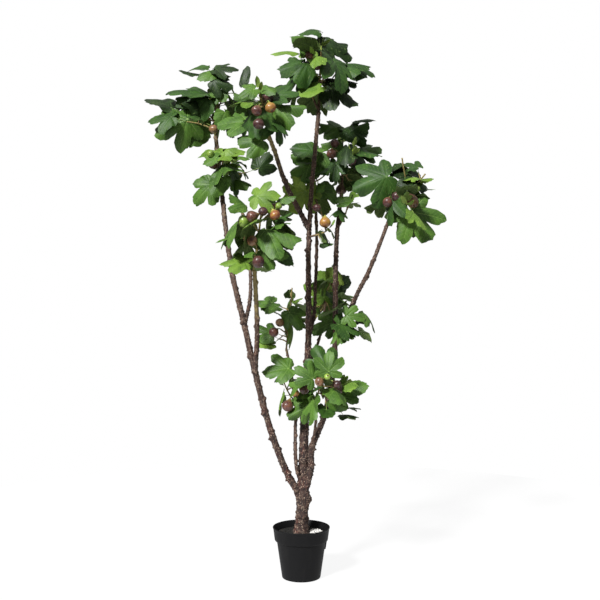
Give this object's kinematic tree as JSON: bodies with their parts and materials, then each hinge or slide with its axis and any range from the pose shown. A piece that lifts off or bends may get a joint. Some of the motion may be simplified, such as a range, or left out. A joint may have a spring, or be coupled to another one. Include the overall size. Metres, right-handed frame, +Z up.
{
  "type": "potted fig tree",
  "caption": "Slender multi-stemmed fig tree, an artificial one, with lobed leaves and figs in open tufts on bare boughs, standing in a plain black nursery pot.",
  "frame": {"origin": "centre of the pot's flat underside", "axes": "+Z up along the trunk, +X to the right and +Y to the back as the tree is seen from its front"},
  "size_m": [1.0829, 0.6922, 1.9822],
  "materials": {
    "pot": "moulded black plastic, matte with a soft sheen",
    "filling": "dark crumbly topping with a few pale flakes",
    "bark": "brown-grey bark with pale speckles and leaf scars, satin",
    "foliage": "green leaves with paler veins, soft sheen"
  },
  "bodies": {
    "root": {"pot": "pot", "pot_filling": "filling", "trunk": "bark", "bough_far_left": "bark", "bough_left": "bark", "bough_left_inner": "bark", "stem_low_left": "bark", "bough_right": "bark", "bough_far_right": "bark", "bough_upper_left": "bark", "stem_behind": "bark", "twig_low": "bark", "twig_mid": "bark", "foliage_top": "foliage", "foliage_far_left": "foliage", "foliage_upper_left": "foliage", "foliage_far_right": "foliage", "foliage_right_upper": "foliage", "foliage_centre": "foliage", "foliage_left": "foliage", "foliage_low_centre": "foliage", "foliage_mid": "foliage", "foliage_low_left": "foliage", "foliage_left_side": "foliage", "foliage_left_back": "foliage", "foliage_low_side": "foliage", "foliage_mid_right": "foliage", "foliage_low_right": "foliage", "foliage_right_inner": "foliage", "foliage_spur": "foliage"}
  },
  "joints": []
}
